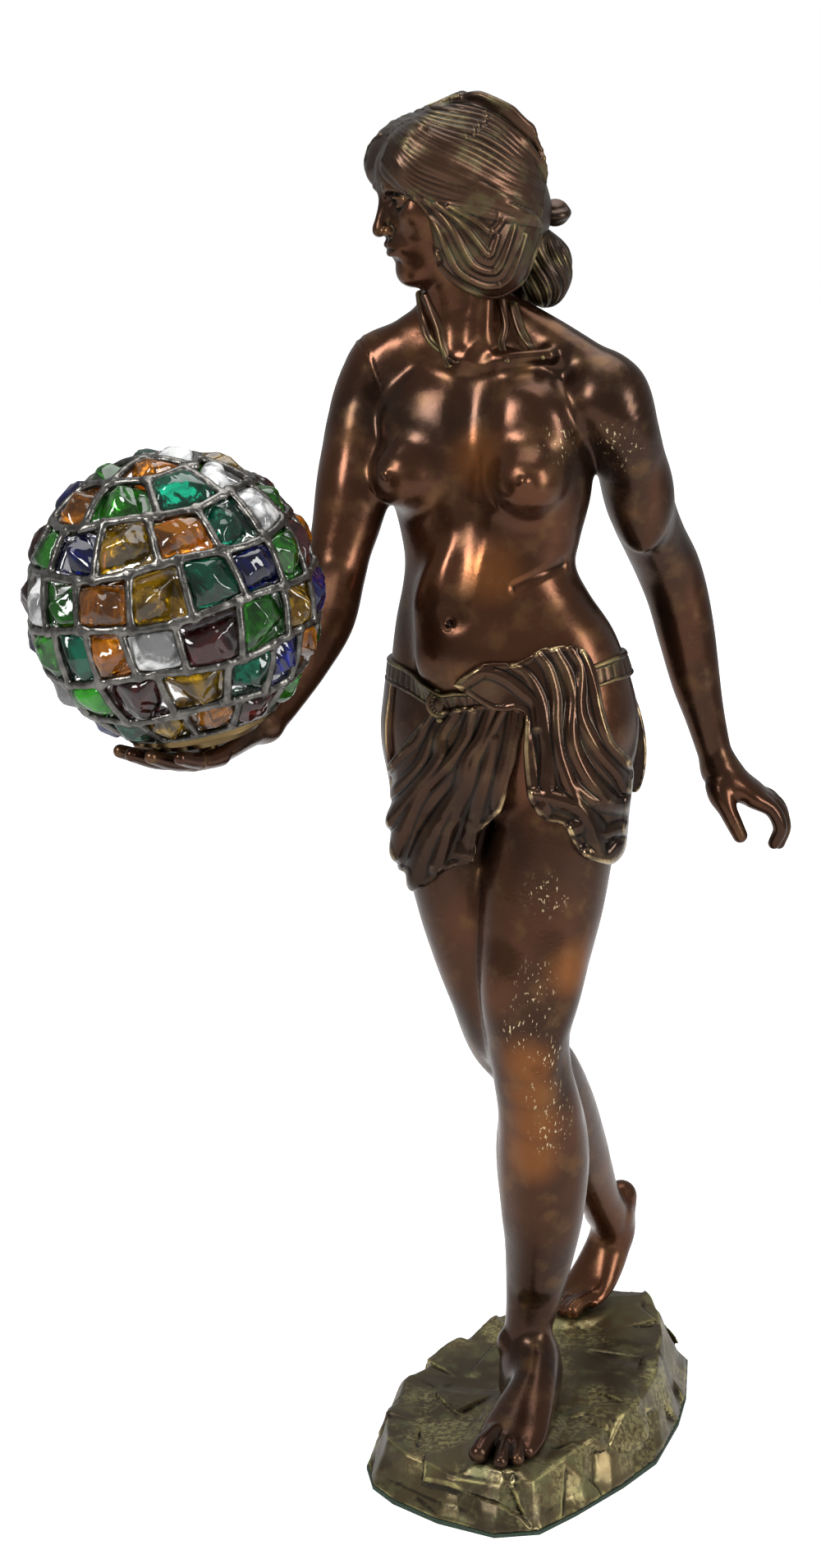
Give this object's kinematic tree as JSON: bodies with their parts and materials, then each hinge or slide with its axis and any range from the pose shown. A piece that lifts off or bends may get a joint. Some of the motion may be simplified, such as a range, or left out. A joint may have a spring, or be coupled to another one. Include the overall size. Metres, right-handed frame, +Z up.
{
  "type": "figural table lamp",
  "caption": "Table lamp: a cast standing figure on a rock base holds a leaded ball shade of chunk glass on one palm, with a screw-in bulb inside the ball.",
  "frame": {"origin": "centre of the underside of the base, on its felt pad", "axes": "+Z up along the figure, the figure steps towards -Y and the ball is on the -X side"},
  "size_m": [0.4385, 0.3574, 0.7951],
  "materials": {
    "bronze": "satin",
    "bronze_hair": "satin",
    "bronze_cloth": "glossy",
    "rock_bronze": "satin",
    "steel": "satin",
    "felt": "matte",
    "black_plastic": "matte",
    "brass": "satin",
    "porcelain": "glossy",
    "liner_paper": "matte",
    "bulb_glass": "glossy",
    "bulb_metal": "satin",
    "tungsten": "satin",
    "lead": "satin",
    "amber_glass": "glossy",
    "green_glass": "glossy",
    "cobalt_glass": "glossy",
    "teal_glass": "glossy",
    "plum_glass": "glossy",
    "opal_glass": "glossy",
    "olive_glass": "glossy"
  },
  "bodies": {
    "figure": {"torso": "bronze", "left_leg": "bronze", "right_leg": "bronze", "left_arm": "bronze", "right_arm": "bronze", "head": "bronze", "hair": "bronze_hair", "hair_bun": "bronze_hair", "chest_locks": "bronze_hair", "back_tress": "bronze_hair", "belt": "bronze_cloth", "buckle": "bronze_cloth", "thigh_panel": "bronze_cloth", "hip_swag": "bronze_cloth", "seat_drape": "bronze_cloth", "rock_base": "rock_bronze", "cover_plate": "steel", "felt_pad": "felt", "inlet_bush": "black_plastic", "foot_studs": "steel", "foot_washers": "steel", "foot_nuts": "steel", "palm_nipple": "brass", "ball_dish": "brass", "dish_washer": "brass", "dish_nut": "brass", "socket_cup": "brass", "socket_block": "porcelain", "contact_tongue": "brass", "screw_shell": "brass", "socket_liner": "liner_paper", "socket_shell": "brass"},
    "bulb": {"bulb_glass": "bulb_glass", "bulb_cap": "bulb_metal", "bulb_stem": "bulb_glass", "filament": "tungsten"},
    "ball": {"ball_rim": "brass", "lead_net": "lead", "glass_amber": "amber_glass", "glass_green": "green_glass", "glass_cobalt": "cobalt_glass", "glass_teal": "teal_glass", "glass_plum": "plum_glass", "glass_opal": "opal_glass", "glass_olive": "olive_glass"}
  },
  "joints": [
    {"name": "bulb_turn", "type": "hinge", "parent": "figure", "child": "bulb", "pos_m": [-0.18938, -0.13244, 0.49477], "axis": [-0.196, -0.058, 0.9789], "continuous": true},
    {"name": "ball_lift", "type": "slide", "parent": "figure", "child": "ball", "axis": [-0.196, -0.058, 0.9789], "range_m": [0, 0.16]}
  ]
}
